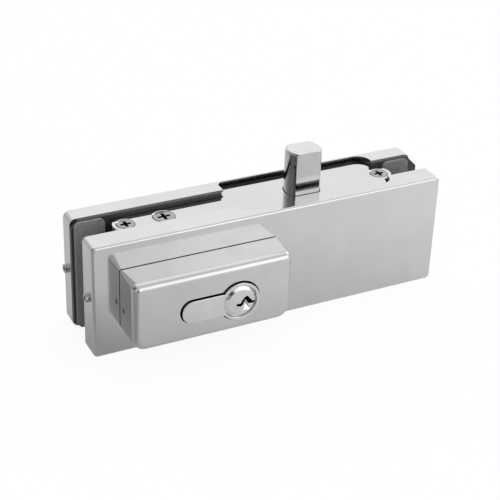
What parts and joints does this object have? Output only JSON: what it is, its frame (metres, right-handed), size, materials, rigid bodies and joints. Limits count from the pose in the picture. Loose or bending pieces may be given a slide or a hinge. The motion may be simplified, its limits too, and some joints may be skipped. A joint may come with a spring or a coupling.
{
  "type": "patch lock",
  "caption": "Patch lock for a glass door: two polished covers clamp the glass, and a keyed cylinder in a square cap drives an upright bolt through gears.",
  "frame": {"origin": "middle of the glass slot's mouth, at the lower edge of the covers and half way along them", "axes": "+X along the fitting with the cylinder towards -X, -Y towards the keyed front, +Z the way the bolt is thrown"},
  "size_m": [0.1692, 0.0519, 0.0704],
  "materials": {
    "polished_cover": "polished stainless sheet",
    "polished_lid": "polished steel plate",
    "polished_bolt": "ground and plated steel",
    "cast_body": "cast and blackened",
    "black_plate": "matt black coat",
    "grey_gasket": "matt grey fibre sheet",
    "bright_screw": "plated steel",
    "plated_screw": "zinc plated steel",
    "black_screw": "black oxide steel",
    "nickel_brass": "nickel plated brass",
    "brass_pin": "turned brass",
    "spring_wire": "spring steel",
    "gear_steel": "sintered steel, lightly oiled"
  },
  "bodies": {
    "frame": {"front_cover": "polished_cover", "rear_cover": "polished_cover", "front_cover_screws": "bright_screw", "rear_cover_screws": "bright_screw", "lock_body": "cast_body", "case_back": "cast_body", "case_back_screws": "plated_screw", "case_lid": "polished_lid", "lid_end_screws": "bright_screw", "cylinder_fixing_screw": "bright_screw", "rear_clamp_plate": "black_plate", "front_gasket": "grey_gasket", "rear_gasket": "grey_gasket", "clamp_screws": "black_screw", "lock_cap": "polished_cover", "cap_grub_screws": "black_screw", "cap_base": "black_plate", "cap_frame_screws": "plated_screw", "cylinder_housing": "nickel_brass", "driver_pins": "brass_pin", "tumbler_springs": "spring_wire", "gear_axle": "gear_steel", "bolt_guide": "cast_body"},
    "plug": {"cylinder_plug": "nickel_brass", "key_pins": "brass_pin", "cam_gear": "gear_steel", "plug_clip": "spring_wire"},
    "transfer": {"transfer_gear": "gear_steel"},
    "bolt": {"bolt": "polished_bolt", "bolt_rack": "gear_steel", "rack_rivets": "gear_steel"}
  },
  "joints": [
    {"name": "plug_turn", "type": "hinge", "parent": "frame", "child": "plug", "pos_m": [-0.0236, 0, 0.023], "axis": [0, -1, 0], "range_deg": [0, 360]},
    {"name": "transfer_turn", "type": "hinge", "parent": "frame", "child": "transfer", "pos_m": [-0.00861, 0, 0.0299], "axis": [0, -1, 0], "range_deg": [-206, 0]},
    {"name": "bolt_slide", "type": "slide", "parent": "frame", "child": "bolt", "axis": [0, 0, 1], "range_m": [-0.01795, 0]}
  ],
  "couplings": [
    {"joint": "transfer_turn", "follows": "bolt_slide", "rad_per_m": 200},
    {"joint": "plug_turn", "follows": "bolt_slide", "rad_per_m": -350}
  ]
}
